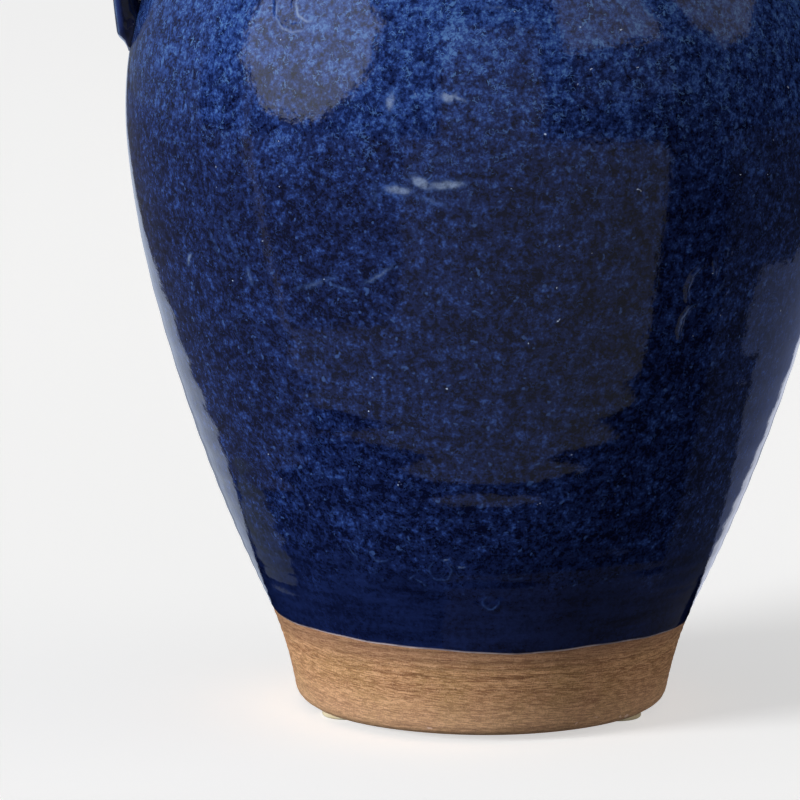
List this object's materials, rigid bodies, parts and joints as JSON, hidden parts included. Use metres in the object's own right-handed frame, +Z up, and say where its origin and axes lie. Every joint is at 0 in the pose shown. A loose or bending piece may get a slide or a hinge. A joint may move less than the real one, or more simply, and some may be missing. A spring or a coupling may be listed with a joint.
{
  "type": "flower vase",
  "caption": "Large thrown flower vase with a cobalt glaze over a bare clay foot and strap handles from shoulder to neck, standing on bumper pads.",
  "frame": {"origin": "on the floor under the middle of the foot", "axes": "+Z up the axis of the jar, out of its mouth; +X towards the right handle; -Y is the front"},
  "size_m": [0.3044, 0.2863, 0.385],
  "materials": {
    "clay": "matte",
    "cobalt_glaze": "gloss",
    "inner_glaze": "gloss",
    "pads": "matte"
  },
  "bodies": {
    "root": {"clay_body": "clay", "outer_glaze": "cobalt_glaze", "inner_glaze": "inner_glaze", "left_handle": "cobalt_glaze", "right_handle": "cobalt_glaze", "front_left_pad": "pads", "front_right_pad": "pads", "rear_pad": "pads"}
  },
  "joints": []
}
